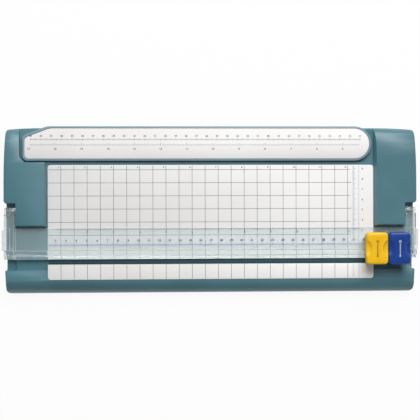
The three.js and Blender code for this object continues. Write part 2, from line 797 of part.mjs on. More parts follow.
// A side arm's web, ribs, hinge eye, stiffening step, rail stop and finger tab.
function sideArm(side) {
  const t = ribThickness;
  const top = panelTop + ribStand;
  const sunk = panelTop - ribSink;
  const innerRib = alongX(sideRib(slotFloor + tipGap, top, hingeY), sideInner, sideInner + t);
  const outerRib = alongX(
    sideRib(panelBottom - sideSkirt, top, hingeY - eyeRadius + tipGap),
    sideOuter - outerRibThickness,
    sideOuter,
  );
  const web = box(sideInner, sideOuter, panelFrontY, hingeY + eyeRadius, panelBottom, panelTop);
  const eye = rodX(hingeY, hingeZ, eyeRadius, sideInner, sideInner + eyeLength);
  const stepX = sideOuter - stepInset;
  const step = [
    box(stepX, stepX + t, railBackY, panelBackY, sunk, panelTop + stepStand),
    box(stepX, sideOuter - ribSink, panelBackY - t, panelBackY, sunk, panelTop + stepStand),
  ];
  const stop = box(
    stopX, stopX + t, railFrontY - stopOverhang, railBackY + stopOverhang, sunk, railTop - stopDrop,
  );
  const tabBottom = panelBottom - sideSkirt + tabRise;
  const inside = sideOuter - outerRibThickness + ribSink;
  const tab = prism(
    roundedRectangle(
      inside - tabCorner, sideOuter + tabReach, tabMiddleY - tabLength / 2, tabMiddleY + tabLength / 2,
      tabCorner,
    ),
    tabBottom,
    tabBottom + tabThickness,
  ).subtract(box(0, inside, frontY, backY, 0, capTop));
  const bore = rodX(hingeY, hingeZ, hingePinRadius + runGap, 0, sideInner + eyeLength + seatGap);
  const arm = cut(join(web, innerRib, outerRib, eye, ...step, stop, tab), bore);
  return side > 0 ? arm : arm.mirror([1, 0, 0]);
}

function guideArm() {
  const end = sideInner + ribThickness / 2;
  const panel = box(-end, end, panelFrontY, panelBackY, panelBottom, panelTop);
  const rail = alongX(railSection(0), -sideOuter, sideOuter);
  return join(panel, rail, sideArm(-1), sideArm(1));
}

function hingePin(side) {
  const inner = slotInner - hingePinGrip + seatGap;
  const outer = sideInner + eyeLength - slideGap;
  const [x0, x1] = side > 0 ? [inner, outer] : [-outer, -inner];
  return rodX(hingeY, hingeZ, hingePinRadius, x0, x1, 20);
}

// ---- Carriages ----

function carriageOutline(x, inset) {
  return roundedRectangle(
    x - carriageWidth / 2 + inset,
    x + carriageWidth / 2 - inset,
    carriageFrontY + inset,
    carriageFrontY + carriageDepth - inset,
    carriageCorner - inset / 1.5,
  );
}

// Room for the wheel and its fork, with a gap round the fork.
function wheelSlot(x, gap) {
  const half = forkHalf + gap;
  const reach = wheelRadius + wheelClear;
  return box(x - reach, x + reach, cutLineY - half, cutLineY + half, 0, carriageTop);
}

function shoe(x) {
  const flange = prism(carriageOutline(x, flangeInset), flangeBottom, flangeTop);
  const clear = capWall + slideGap;
  const half = carriageWidth / 2 - clear;
  const stem = prism(carriageOutline(x, clear), flangeBottom, shoeTop).subtract(
    box(x - half, x + half, carriageFrontY, cutLineY, 0, carriageTop),
  );
  const hooks = box(
    x - half, x + half, railFrontY - hookReach, railBackY + hookReach, panelTop + slideGap, flangeTop,
  );
  const tunnel = alongX(railSection(slideGap), x - carriageWidth, x + carriageWidth);
  const springSeat = rodZ(x, springY, springRadius + slideGap + springWire, springSeatZ, carriageTop);
  return cut(join(flange, stem, hooks), tunnel, wheelSlot(x, edgeGap), springSeat);
}

// The ellipsoid that scoops out one side of a cap's top, larger by extra.
function scoop(x, side, extra) {
  const g = new THREE.SphereGeometry(1, 32, 20);
  g.scale(scoopRadius + extra, scoopRadius + extra, scoopHeight + extra);
  const out = carriageWidth / 2 + scoopOut;
  return solid(g.translate(x + side * out, carriageMiddleY, carriageTop + scoopRise));
}

function carriageCap(x) {
  const body = roundedPrism(carriageOutline(x, 0), capBottom, carriageTop, capEdge, 5, 3);
  let hollow = prism(carriageOutline(x, capWall), 0, roofZ, 5);
  hollow = cut(hollow, scoop(x, -1, capWall), scoop(x, 1, capWall));
  const halfWidth = labelWidth / 2 + runGap;
  const halfLength = labelLength / 2 + runGap;
  const recess = box(
    x - halfWidth, x + halfWidth, carriageMiddleY - halfLength, carriageMiddleY + halfLength,
    carriageTop - labelThickness - runGap, above + carriageTop,
  );
  return cut(body, hollow, scoop(x, -1, 0), scoop(x, 1, 0), recess);
}

function carriageLabel(x) {
  const w = labelWidth / 2;
  const l = labelLength / 2;
  return box(
    x - w, x + w, carriageMiddleY - l, carriageMiddleY + l, carriageTop - labelThickness, carriageTop,
  );
}

function wheelFork(x) {
  const half = forkHalf - forkLeg;
  const s = new THREE.Shape();
  s.moveTo(x + forkHalfWidth, wheelZ);
  s.lineTo(x + forkHalfWidth, forkTop);
  s.lineTo(x - forkHalfWidth, forkTop);
  s.lineTo(x - forkHalfWidth, wheelZ);
  s.absarc(x, wheelZ, forkHalfWidth, Math.PI, 2 * Math.PI);
  const outer = alongY(s, cutLineY - forkHalf, cutLineY + forkHalf);
  const far = wheelRadius;
  const gap = box(x - far, x + far, cutLineY - half, cutLineY + half, 0, forkTop - forkBridge);
  const bore = rodY(x, wheelZ, axleRadius + runGap, cutLineY - far, cutLineY + far, 20);
  return cut(outer, gap, bore);
}

function wheelAxle(x) {
  return rodY(x, wheelZ, axleRadius, cutLineY - forkHalf, cutLineY + forkHalf, 20);
}

// A wheel whose rim is ground from the given thickness down to the given edge.
function wheel(x, thickness, edge) {
  const t = thickness / 2;
  const e = edge / 2;
  const bore = axleRadius + runGap;
  const r = wheelRadius;
  const rim = r - wheelBevel;
  const profile = [[bore, -t], [rim, -t], [r, -e], [r, e], [rim, t], [bore, t], [bore, -t]];
  const g = new THREE.LatheGeometry(profile.map(([a, b]) => new THREE.Vector2(a, b)), 36);
  return solid(g.translate(x, cutLineY, wheelZ));
}

class Helix extends THREE.Curve {
  constructor(x, y, z0, z1, radius, turns) {
    super();
    Object.assign(this, { x, y, z0, z1, radius, turns });
  }

  getPoint(t, target = new THREE.Vector3()) {
    const a = 2 * Math.PI * this.turns * t;
    const z = this.z0 + (this.z1 - this.z0) * t;
    return target.set(this.x + this.radius * Math.cos(a), this.y + this.radius * Math.sin(a), z);
  }
}

function pressSpring(x) {
  const z0 = springSeatZ + seatGap + springWire;
  const z1 = roofZ - seatGap - springWire;
  const section = new THREE.Shape();
  section.absarc(0, 0, springWire, 0, 2 * Math.PI);
  const path = new Helix(x, springY, z0, z1, springRadius, springTurns);
  const g = new THREE.ExtrudeGeometry(section, {
    steps: springTurns * 10,
    curveSegments: 2,
    bevelEnabled: false,
    extrudePath: path,
  });
  return solid(g);
}

// ---- The assembly ----

function spread(prefix, spots, make, look) {
  return spots.map((spot, i) => piece(prefix + "_" + (i + 1), make(spot), look));
}

function carriage(prefix, x, look, wheelThickness, wheelEdge) {
  return [
    piece(prefix + "_shoe", shoe(x), look),
    piece(prefix + "_spring", pressSpring(x), steel),
    piece(prefix + "_cap", carriageCap(x), look),
    piece(prefix + "_label", carriageLabel(x), labelFilm),
    piece(prefix + "_wheel_fork", wheelFork(x), blackPlastic),
    piece(prefix + "_axle", wheelAxle(x), steel),
    piece(prefix + "_wheel", wheel(x, wheelThickness, wheelEdge), steel),
  ];
}

const trimmer = new THREE.Group();
trimmer.add(
  piece("top_housing", topHousing(), tealPlastic),
  piece("bottom_cover", bottomCover(), darkPlastic),
  piece("table_plate", tablePlate(), whitePlate),
  piece("front_plate", frontPlate(), whitePlate),
  piece("cutting_strip", cuttingStrip(), darkPlastic),
  ...spread("foot", footSpots, foot, rubber),
  ...spread("cover_screw", screwSpots, coverScrew, steel),
  piece("hinge_pin_left", hingePin(-1), tealPlastic),
  piece("hinge_pin_right", hingePin(1), tealPlastic),
  piece("ruler_arm", rulerFrame(), rulerPlastic),
  piece("ruler_plate", rulerPlate(), whitePlate),
  piece("ruler_pivot_screw", pivotScrew(), steel),
  piece("ruler_pivot_washer", pivotWasher(), steel),
  piece("guide_arm", guideArm(), clearPlastic),
  ...carriage("cut", cutX, yellowPlastic, cutWheelThickness, cutWheelEdge),
  ...carriage("score", scoreX, bluePlastic, scoreWheelThickness, scoreWheelEdge),
);

export default trimmer;
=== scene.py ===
# %% [markdown]
# # A rotary paper trimmer, dressed for its portrait
#
# The object is a moulded teal base with a printed white table, a ruler arm that swings out behind, and a
# clear arm whose rail carries two small carriages, a yellow one that cuts and a blue one that scores.
# The CAD model comes first. It is loaded as a frame of named bodies, and everything made below rides on
# one of them.

# %% Load the frame
import json
import math

import bmesh
import bpy
from mathutils import Matrix, Vector


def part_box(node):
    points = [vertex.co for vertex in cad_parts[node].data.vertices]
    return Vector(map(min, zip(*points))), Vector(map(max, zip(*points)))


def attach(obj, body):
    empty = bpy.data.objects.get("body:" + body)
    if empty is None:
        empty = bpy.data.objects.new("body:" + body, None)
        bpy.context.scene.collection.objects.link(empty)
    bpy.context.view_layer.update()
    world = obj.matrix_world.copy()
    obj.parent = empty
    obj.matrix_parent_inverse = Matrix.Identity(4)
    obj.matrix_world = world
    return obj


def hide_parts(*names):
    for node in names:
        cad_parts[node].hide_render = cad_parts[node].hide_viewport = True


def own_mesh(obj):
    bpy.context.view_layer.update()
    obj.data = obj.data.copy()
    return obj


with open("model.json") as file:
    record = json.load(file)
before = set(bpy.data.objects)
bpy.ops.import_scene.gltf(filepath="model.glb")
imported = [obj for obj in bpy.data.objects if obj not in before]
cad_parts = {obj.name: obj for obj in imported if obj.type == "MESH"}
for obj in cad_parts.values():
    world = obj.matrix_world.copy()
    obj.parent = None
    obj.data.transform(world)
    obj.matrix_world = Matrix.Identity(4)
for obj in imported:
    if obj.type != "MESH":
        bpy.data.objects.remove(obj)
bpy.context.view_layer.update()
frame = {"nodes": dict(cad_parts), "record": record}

MM = 0.001
scene = bpy.context.scene

# %% [markdown]
# ## The camera
#
# The trimmer is seen from almost straight above, from about a metre. A long lens keeps its long sides
# parallel. A camera could be aimed with a constraint, but three small turns say the angle exactly.

# %% Camera
camera_data = bpy.data.cameras.new("camera")
camera_data.lens = 97
camera_data.sensor_width = 36
camera_data.clip_end = 20
camera = bpy.data.objects.new("camera", camera_data)
scene.collection.objects.link(camera)
scene.camera = camera
lean_sideways, lean_forwards, twist = (math.radians(a) for a in (2.998, 0.249, 0.166))
aim = (
    Matrix.Rotation(twist, 4, "Z")
    @ Matrix.Rotation(lean_forwards, 4, "X")
    @ Matrix.Rotation(lean_sideways, 4, "Y")
)
camera.matrix_world = Matrix.Translation(Vector((-59.3, 4.4, 1116)) * MM) @ aim.transposed()
print("camera at", [round(v, 3) for v in camera.matrix_world.translation])

# %% [markdown]
# ## Settings for every finish
#
# Colours are written as sRGB hex, as a paint chart or a photo editor gives them, and one function turns
# them to the linear values that the shaders need. Another small function adds a node with its settings
# and links, so that each material below reads as a list of what it is made of.

# %% Colour and node helpers
def colour(code):
    """An sRGB hex colour as linear red, green, blue and alpha."""
    parts = [int(code[i : i + 2], 16) / 255 for i in (1, 3, 5)]
    return [p / 12.92 if p <= 0.04045 else ((p + 0.055) / 1.055) ** 2.4 for p in parts] + [1]


def add(nodes, kind, inputs=(), **settings):
    """Adds a node. A value in inputs is set on that socket, and a socket is linked to it."""
    node = nodes.new("ShaderNode" + kind)
    for name, value in settings.items():
        setattr(node, name, value)
    for name, value in dict(inputs).items():
        if isinstance(value, bpy.types.NodeSocket):
            nodes.id_data.links.new(value, node.inputs[name])
        else:
            node.inputs[name].default_value = value
    return node


def blank_material(name):
    """A new material with its nodes cleared, and its node list."""
    made = bpy.data.materials.new(name)
    made.use_nodes = True
    made.node_tree.nodes.clear()
    return made, made.node_tree.nodes


# %% [markdown]
# ## Floor and light
#
# A catalogue picture is taken on a white sweep under big soft lamps. The floor is plain white: to the
# camera it is mostly its own white, with some of the lamps' light left in, so that the shadow stays.
# The main lamp hangs behind the object and a little to the right, so what faces the back is brighter. An
# even world fills in the rest. Together they light a level surface at about its written colour.

# %% Floor
FLOOR_WHITE = 0.92  # share of the floor's own white, against the lamps' light
FLOOR_HALF = 4  # metres

floor_material, nodes = blank_material("White sweep paper")
paper = add(nodes, "BsdfDiffuse", {"Color": colour("#f6f6f4")})
white = add(nodes, "Emission", {"Color": (1, 1, 1, 1), "Strength": 1})
rays = add(nodes, "LightPath")
direct = {0: rays.outputs["Is Camera Ray"], 1: rays.outputs["Is Glossy Ray"]}
seen = add(nodes, "Math", direct, operation="ADD")
with_glass = {0: seen.outputs[0], 1: rays.outputs["Is Transmission Ray"]}
seen = add(nodes, "Math", with_glass, operation="ADD", use_clamp=True)
own_white = add(nodes, "Math", {0: seen.outputs[0], 1: FLOOR_WHITE}, operation="MULTIPLY")
mixed = add(nodes, "MixShader", {0: own_white.outputs[0], 1: paper.outputs[0], 2: white.outputs[0]})
add(nodes, "OutputMaterial", {"Surface": mixed.outputs[0]})

floor_mesh = bpy.data.meshes.new("floor")
bm = bmesh.new()
bmesh.ops.create_grid(bm, x_segments=1, y_segments=1, size=FLOOR_HALF)
bm.to_mesh(floor_mesh)
bm.free()
floor = bpy.data.objects.new("floor", floor_mesh)
floor_mesh.materials.append(floor_material)
scene.collection.objects.link(floor)
print("floor", [round(v, 2) for v in floor.dimensions])


# %% Lamps and world
def soft_lamp(name, place, size, power):
    """A square lamp that looks at the middle of the table. place is in metres."""
    data = bpy.data.lights.new(name, "AREA")
    data.size = size
    data.energy = power
    made = bpy.data.objects.new(name, data)
    made.location = place
    made.rotation_euler = (-Vector(place)).to_track_quat("-Z", "Y").to_euler()
    scene.collection.objects.link(made)


soft_lamp("main lamp", place=(0.2, 1.35, 1.5), size=1.4, power=40)
world = bpy.data.worlds.new("studio")
world.use_nodes = True
scene.world = world
nodes = world.node_tree.nodes
nodes.clear()
rays = add(nodes, "LightPath")
room = add(nodes, "Background", {"Color": (1, 1, 1, 1), "Strength": 0.3})
backdrop = add(nodes, "Background", {"Color": (1, 1, 1, 1), "Strength": 1})
sides = {0: rays.outputs["Is Camera Ray"], 1: room.outputs[0], 2: backdrop.outputs[0]}
mixed = add(nodes, "MixShader", sides)
add(nodes, "OutputWorld", {"Surface": mixed.outputs[0]})
scene.view_settings.view_transform = "Standard"

# %% [markdown]
# ## Moulded plastics
#
# The base, the ruler arm, the carriages and their shoes are injection-moulded ABS. Its mould is spark
# eroded, which leaves a fine even grain of about 0.3 mm with a satin sheen. Where the melt cooled
# unevenly the colour drifts a little over some centimetres. Both are noise textures in real sizes, one
# for the bump and one for the colour. The grain is drawn at 0.8 mm, since at its true size it wouldn't show.

# %% Moulded plastic
COLOUR_DRIFT = 45  # mm
GRAIN_DEPTH = 0.02  # mm


def moulded_plastic(name, main, darker, roughness, grain, depth, ior=1.54):
    """Opaque moulded plastic. grain is the texture's size in mm and depth how strongly it shows."""
    made, nodes = blank_material(name)
    place = add(nodes, "TexCoord")
    slow = {"Vector": place.outputs["Object"], "Scale": 1 / (COLOUR_DRIFT * MM), "Detail": 3}
    drift = add(nodes, "TexNoise", slow)
    tone = add(nodes, "ValToRGB", {"Fac": drift.outputs["Fac"]})
    tone.color_ramp.elements[0].position = 0.3
    tone.color_ramp.elements[1].position = 0.7
    tone.color_ramp.elements[0].color = colour(darker)
    tone.color_ramp.elements[1].color = colour(main)
    spark = {"Vector": place.outputs["Object"], "Scale": 1 / (grain * MM), "Detail": 2}
    texture = add(nodes, "TexNoise", spark).outputs["Fac"]
    sheen = {"Value": texture, "To Min": roughness - 0.05, "To Max": roughness + 0.05}
    gloss = add(nodes, "MapRange", sheen)
    bump = add(nodes, "Bump", {"Height": texture, "Strength": depth, "Distance": GRAIN_DEPTH * MM})
    skin = add(
        nodes,
        "BsdfPrincipled",
        {
            "Base Color": tone.outputs["Color"],
            "Roughness": gloss.outputs["Result"],
            "IOR": ior,
            "Normal": bump.outputs["Normal"],
        },
    )
    add(nodes, "OutputMaterial", {"Surface": skin.outputs[0]})
    return made


teal_abs = moulded_plastic("Teal ABS, moulded", "#53818d", "#4b7782", 0.38, 0.8, 0.6)
dark_abs = moulded_plastic("Dark teal ABS, moulded", "#335660", "#2d4f59", 0.55, 0.8, 0.6)
ruler_abs = moulded_plastic("Blue-grey ABS, moulded", "#7f9ba6", "#7893a0", 0.4, 0.8, 0.4)
strip_pp = moulded_plastic("Dark polypropylene, extruded", "#2c4c56", "#28464f", 0.5, 1.2, 0.4, ior=1.49)
yellow_abs = moulded_plastic("Yellow ABS, moulded", "#fdca00", "#f8bf00", 0.35, 0.8, 0.25)
blue_abs = moulded_plastic("Blue ABS, moulded", "#004098", "#00398e", 0.35, 0.8, 0.25)
black_pom = moulded_plastic("Black acetal, moulded", "#26292c", "#212426", 0.4, 0.8, 0.3, ior=1.48)
rubber = moulded_plastic("Black rubber, moulded", "#1f2022", "#1b1c1e", 0.8, 0.6, 0.8, ior=1.52)
print("plastics:", [m.name for m in bpy.data.materials if "moulded" in m.name])

# %% [markdown]
# ## The printed plates
#
# The table, the front plate and the ruler's plate are white ABS sheet, printed and then covered with a
# clear film. The film gives a soft gloss over an even white, and the sheet under it is never quite flat,
# so its reflections wander slowly. The waves are about 60 mm long.

# %% White printed sheet
plate_white, nodes = blank_material("White ABS sheet, laminated")
place = add(nodes, "TexCoord")
waves = add(nodes, "TexNoise", {"Vector": place.outputs["Object"], "Scale": 1 / (60 * MM), "Detail": 1})
speckle = add(nodes, "TexNoise", {"Vector": place.outputs["Object"], "Scale": 1 / (1.5 * MM), "Detail": 2})
tone = add(nodes, "ValToRGB", {"Fac": waves.outputs["Fac"]})
tone.color_ramp.elements[0].position = 0.35
tone.color_ramp.elements[1].position = 0.65
tone.color_ramp.elements[0].color = colour("#f0eeed")
tone.color_ramp.elements[1].color = colour("#f3f2f1")
gloss = add(nodes, "MapRange", {"Value": speckle.outputs["Fac"], "To Min": 0.4, "To Max": 0.5})
bump = add(nodes, "Bump", {"Height": waves.outputs["Fac"], "Strength": 0.15, "Distance": 1 * MM})
skin = add(
    nodes,
    "BsdfPrincipled",
    {
        "Base Color": tone.outputs["Color"],
        "Roughness": gloss.outputs["Result"],
        "IOR": 1.5,
        "Normal": bump.outputs["Normal"],
    },
)
add(nodes, "OutputMaterial", {"Surface": skin.outputs[0]})


# %% Printing ink
def printing_ink(name, code):
    """Ink under the film: the ink's colour, uneven by a few percent where the squeegee left less."""
    made, nodes = blank_material(name)
    place = add(nodes, "TexCoord")
    film = add(nodes, "TexNoise", {"Vector": place.outputs["Object"], "Scale": 1 / (8 * MM), "Detail": 2})
    level = add(nodes, "MapRange", {"Value": film.outputs["Fac"], "To Min": 0.9, "To Max": 1.1})
    tint = add(nodes, "HueSaturation", {"Color": colour(code), "Value": level.outputs["Result"]})
    skin = add(nodes, "BsdfPrincipled", {"Base Color": tint.outputs["Color"], "Roughness": 0.4, "IOR": 1.5})
    add(nodes, "OutputMaterial", {"Surface": skin.outputs[0]})
    return made


grid_ink = printing_ink("Blue-grey ink, screen printed", "#38445f")
scale_ink = printing_ink("Grey ink, screen printed", "#474a60")
blue_ink = printing_ink("Light blue ink, screen printed", "#4f86c4")
dark_ink = printing_ink("Dark ink, screen printed", "#1c2232")
pale_ink = printing_ink("Pale ink, pad printed", "#c9cfd6")

# %% [markdown]
# ## Metals
#
# The screws, axles and springs are bright nickel-plated steel, and the two wheels are hardened blade
# steel with a finer, brighter ground surface. A metal keeps the usual IOR, and its colour does the rest.

# %% Steel
def steel(name, code, roughness, streak):
    """Bare or plated steel. streak is the size in mm of the marks that its making left."""
    made, nodes = blank_material(name)
    place = add(nodes, "TexCoord")
    size = {"Vector": place.outputs["Object"], "Scale": 1 / (streak * MM), "Detail": 3}
    marks = add(nodes, "TexNoise", size).outputs["Fac"]
    gloss = add(nodes, "MapRange", {"Value": marks, "To Min": roughness - 0.06, "To Max": roughness + 0.1})
    tint = add(nodes, "ValToRGB", {"Fac": marks})
    tint.color_ramp.elements[0].color = colour(code)
    tint.color_ramp.elements[1].color = colour("#d4d6d8")
    skin = add(
        nodes,
        "BsdfPrincipled",
        {"Base Color": tint.outputs["Color"], "Metallic": 1.0, "Roughness": gloss.outputs["Result"]},
    )
    add(nodes, "OutputMaterial", {"Surface": skin.outputs[0]})
    return made


spring_steel = steel("Nickel-plated steel", "#b4b6b9", 0.25, 2.5)
blade_steel = steel("Hardened steel, ground", "#a9acb0", 0.2, 0.6)

# %% [markdown]
# ## The clear arm's plastic
#
# The guide arm is clear polycarbonate, moulded in one piece. Seen from above it barely tints the table.
# Its IOR is 1.58. Light that enters such a piece runs along inside it and leaves where an edge turns, so
# the edges shine white: that shine is a painted highlight, a white material that isn't clear on the rounded
# edges. A lamp's light would hardly find its way through glass, so shadow rays pass straight through, a
# little weakened.

# %% Clear polycarbonate
def clear_plastic(name, code, roughness, clearness, shadow):
    """Clear plastic whose surface isn't quite flat, in waves of 35 mm. clearness 0 is white."""
    made, nodes = blank_material(name)
    place = add(nodes, "TexCoord")
    flow = add(nodes, "TexNoise", {"Vector": place.outputs["Object"], "Scale": 1 / (35 * MM), "Detail": 1})
    bump = add(nodes, "Bump", {"Height": flow.outputs["Fac"], "Strength": 0.04, "Distance": 0.5 * MM})
    body = add(
        nodes,
        "BsdfPrincipled",
        {
            "Base Color": colour(code),
            "Roughness": roughness,
            "IOR": 1.58,
            "Transmission Weight": clearness,
            "Normal": bump.outputs["Normal"],
        },
    )
    through = add(nodes, "BsdfTransparent", {"Color": colour(shadow)})
    rays = add(nodes, "LightPath")
    sides = {0: rays.outputs["Is Shadow Ray"], 1: body.outputs[0], 2: through.outputs[0]}
    mixed = add(nodes, "MixShader", sides)
    add(nodes, "OutputMaterial", {"Surface": mixed.outputs[0]})
    return made


clear_pc = clear_plastic("Clear polycarbonate, moulded", "#e2e6e6", 0.03, 0.9, "#f2f5f5")
# Painted highlight: white, not clear, on the clear arm's rounded edges, standing in for the light that
# leaves them.
white_edge_highlight = clear_plastic("Clear polycarbonate, painted edge highlight", "#ffffff", 0.3, 0.0, "#f2f5f5")

# %% [markdown]
# ## Rounding the moulded edges
#
# No moulded edge is perfectly sharp: its mould was cut with a small radius, which shows as a thin bright
# line. The CAD pieces have the right shapes but sharp edges, and flat triangles where three could be one
# face. Each is copied, its flat triangles are merged, and a Bevel modifier rounds the sharp edges. A
# boolean or a remesh would do it too, but they lose the clean faces.

# %% Rounded copies of the CAD pieces
FLAT = 0.3  # degrees; triangles that turn less than this are one face
SHARP = 32  # degrees; an edge that turns more than this is rounded


def weld(mesh):
    """Merges double points and the triangles that lie in one plane."""
    bm = bmesh.new()
    bm.from_mesh(mesh)
    bmesh.ops.remove_doubles(bm, verts=bm.verts, dist=0.002 * MM)
    bmesh.ops.dissolve_limit(
        bm,
        angle_limit=math.radians(FLAT),
        verts=bm.verts,
        edges=bm.edges,
        use_dissolve_boundaries=False,
    )
    bmesh.ops.recalc_face_normals(bm, faces=bm.faces)
    bm.to_mesh(mesh)
    bm.free()


def dress(node, finish, radius, body, small=None, highlight_material=None):
    """A rounded copy of a CAD node that stands for it. small(point) says where the radius is smaller."""
    mesh = frame["nodes"][node].data.copy()
    mesh.materials.clear()
    mesh.materials.append(finish)
    weld(mesh)
    mesh.shade_smooth()
    made = bpy.data.objects.new(node + "_finished", mesh)
    scene.collection.objects.link(made)
    bevel = made.modifiers.new("rounded edges", "BEVEL")
    bevel.width = radius * MM
    bevel.segments = 2
    bevel.harden_normals = True
    if small:
        bevel.limit_method = "WEIGHT"
        weigh_edges(mesh, small)
    else:
        bevel.limit_method = "ANGLE"
        bevel.angle_limit = math.radians(SHARP)
    # A second material on the rounded faces is a painted highlight: the clear arm's white edges.
    if highlight_material:
        mesh.materials.append(highlight_material)
        bevel.material = 1
    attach(made, body)
    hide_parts(node)
    return made


def weigh_edges(mesh, share):
    """Gives each sharp edge the share of the bevel's radius that suits its middle, in mm."""
    bm = bmesh.new()
    bm.from_mesh(mesh)
    weight = bm.edges.layers.float.new("bevel_weight_edge")
    for edge in bm.edges:
        if edge.is_manifold and edge.calc_face_angle() > math.radians(SHARP):
            edge[weight] = share((edge.verts[0].co + edge.verts[1].co) / 2 / MM)
    bm.to_mesh(mesh)
    bm.free()


def place_of(node):
    """A CAD node's lowest and highest corner in mm."""
    low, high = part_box(node)
    return low / MM, high / MM


table_low, table_high = place_of("table_plate")
front_low, front_high = place_of("front_plate")


def housing_share(point):
    """Full rounding for the housing's outer edges, less in the plates' recesses and under the deck."""
    beside_plates = abs(point.x) < table_high.x + 1 and point.y < table_high.y + 1
    if point.z < 3 or beside_plates:
        return 0.25
    return 1.0 if point.z > table_low.z - 0.2 else 0.5


body_of = {n: b for b, names in frame["record"]["behaviour"]["bodies"].items() for n in names}
finishes = {
    "top_housing": (teal_abs, 0.9, "teal_abs"),
    "bottom_cover": (dark_abs, 0.4, "dark_abs"),
    "table_plate": (plate_white, 0.15, "printed_white"),
    "front_plate": (plate_white, 0.15, "printed_white"),
    "cutting_strip": (strip_pp, 0.3, "strip_pp"),
    "ruler_arm": (ruler_abs, 0.3, "ruler_abs"),
    "ruler_plate": (plate_white, 0.15, "printed_white"),
    "guide_arm": (clear_pc, 0.6, "clear_pc"),
    "cut_shoe": (yellow_abs, 0.3, "yellow_abs"),
    "score_shoe": (blue_abs, 0.3, "blue_abs"),
    "cut_cap": (yellow_abs, 0.25, "yellow_abs"),
    "score_cap": (blue_abs, 0.25, "blue_abs"),
}
dressed = {}
for node, (finish, radius, slot) in finishes.items():
    share = housing_share if node == "top_housing" else None
    # The clear arm's rounded edges get the white painted highlight.
    highlight_material = white_edge_highlight if node == "guide_arm" else None
    dressed[node] = dress(node, finish, radius, body_of[node], share, highlight_material)
print("rounded copies:", len(dressed))

# %% Finishes of the CAD nodes that stay
screws = ["cover_screw_%d" % i for i in range(1, 7)] + ["ruler_pivot_screw", "ruler_pivot_washer"]
kept = [
    (rubber, ["foot_%d" % i for i in range(1, 7)]),
    (spring_steel, screws + ["cut_axle", "score_axle"]),
    (black_pom, ["cut_wheel_fork", "score_wheel_fork"]),
    (blade_steel, ["cut_wheel", "score_wheel"]),
    (teal_abs, ["hinge_pin_left", "hinge_pin_right"]),
    (yellow_abs, ["cut_label"]),
    (blue_abs, ["score_label"]),
]
for finish, names in kept:
    for name in names:
        slots = frame["nodes"][name].data.materials
        slots.clear()
        slots.append(finish)
print("CAD nodes kept:", sum(len(names) for _, names in kept))

# %% [markdown]
# ## The pressing springs
#
# Each cap stands on a compression spring of 0.8 mm wire, coiled cold, whose first and last turn lie flat.
# A circle swept along a screw line makes it. A curve with a bevel would look the same, but this one is a
# mesh.

# %% Coil springs
WIRE = 0.8
TURNS = 6
AROUND = 10
STEPS = 24  # rings of the wire in a turn
FLAT_TURN = 0.75  # how much of a turn lies flat at each end
FLAT_RISE = 0.12  # mm that a turn rises even where it lies flat


def coil(node, finish, body):
    """A smooth compression spring in the place of the CAD's."""
    low, high = place_of(node)
    middle = (low + high) / 2
    radius = (high.x - low.x - WIRE) / 2
    foot, head = low.z + WIRE / 2, high.z - WIRE / 2
    count = TURNS * STEPS
    bm = bmesh.new()
    rings = []
    for i in range(count + 1):
        turned = 2 * math.pi * i / STEPS
        share = min(max((i / STEPS - FLAT_TURN) / (TURNS - 2 * FLAT_TURN), 0), 1)
        rise = foot + FLAT_RISE * i / STEPS + (head - foot - FLAT_RISE * TURNS) * share
        ring = []
        for k in range(AROUND):
            tip = 2 * math.pi * k / AROUND
            reach = radius + WIRE / 2 * math.cos(tip)
            x, y = middle.x + reach * math.cos(turned), middle.y + reach * math.sin(turned)
            ring.append(bm.verts.new(Vector((x, y, rise + WIRE / 2 * math.sin(tip))) * MM))
        rings.append(ring)
    for a, b in zip(rings, rings[1:]):
        for k in range(AROUND):
            j = (k + 1) % AROUND
            bm.faces.new((a[k], a[j], b[j], b[k]))
    bm.faces.new(reversed(rings[0]))
    bm.faces.new(rings[-1])
    bmesh.ops.recalc_face_normals(bm, faces=bm.faces)
    mesh = bpy.data.meshes.new(node + "_coil")
    bm.to_mesh(mesh)
    bm.free()
    mesh.materials.append(finish)
    mesh.shade_smooth()
    made = bpy.data.objects.new(node + "_coil", mesh)
    scene.collection.objects.link(made)
    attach(made, body)
    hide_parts(node)
    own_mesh(made)


for kind in ("cut", "score"):
    coil(kind + "_spring", spring_steel, body_of[kind + "_spring"])

# %% [markdown]
# ## The printing
#
# The grid, the scales and their numbers are screen printed. An image would do, but thin shapes stay sharp
# at any distance and need no texture: every line is a bar of ink 0.02 mm thick, and every number is a text
# object turned to mesh. Bars and numbers of one colour on one plate are gathered in one mesh.

# %% Bars and numbers of ink
INK = 0.02


def ink_bar(bm, x0, x1, y0, y1, z):
    """A closed bar of ink that lies on height z. All sizes are in mm."""
    corners = [(x0, y0), (x1, y0), (x1, y1), (x0, y1)]
    low = [bm.verts.new(Vector((x, y, z)) * MM) for x, y in corners]
    high = [bm.verts.new(Vector((x, y, z + INK)) * MM) for x, y in corners]
    bm.faces.new(reversed(low))
    bm.faces.new(high)
    for i in range(4):
        j = (i + 1) % 4
        bm.faces.new((low[i], low[j], high[j], high[i]))


def ink_line(bm, start, end, width, z):
    """A bar along X or Y from one point to the other, with its width across."""
    (x0, y0), (x1, y1) = start, end
    half = width / 2
    if abs(x1 - x0) > abs(y1 - y0):
        ink_bar(bm, x0, x1, y0 - half, y0 + half, z)
    else:
        ink_bar(bm, x0 - half, x0 + half, y0, y1, z)


number_curve = bpy.data.curves.new("number", "FONT")
number_curve.align_x = "CENTER"
number_curve.align_y = "CENTER"
number_curve.resolution_u = 3
number_curve.extrude = INK / 2 * MM
number_curve.offset = 0.07 * MM  # bold digits, as screen printing needs
number_maker = bpy.data.objects.new("number", number_curve)


def ink_number(bm, text, x, y, z, height, turn=0):
    """A printed number with its middle at x, y. height is that of its digits."""
    number_curve.body = str(text)
    number_curve.size = height * MM / 0.7
    mesh = bpy.data.meshes.new_from_object(number_maker)
    place = Matrix.Translation(Vector((x, y, z + INK / 2)) * MM)
    mesh.transform(place @ Matrix.Rotation(math.radians(turn), 4, "Z"))
    bm.from_mesh(mesh)
    bpy.data.meshes.remove(mesh)


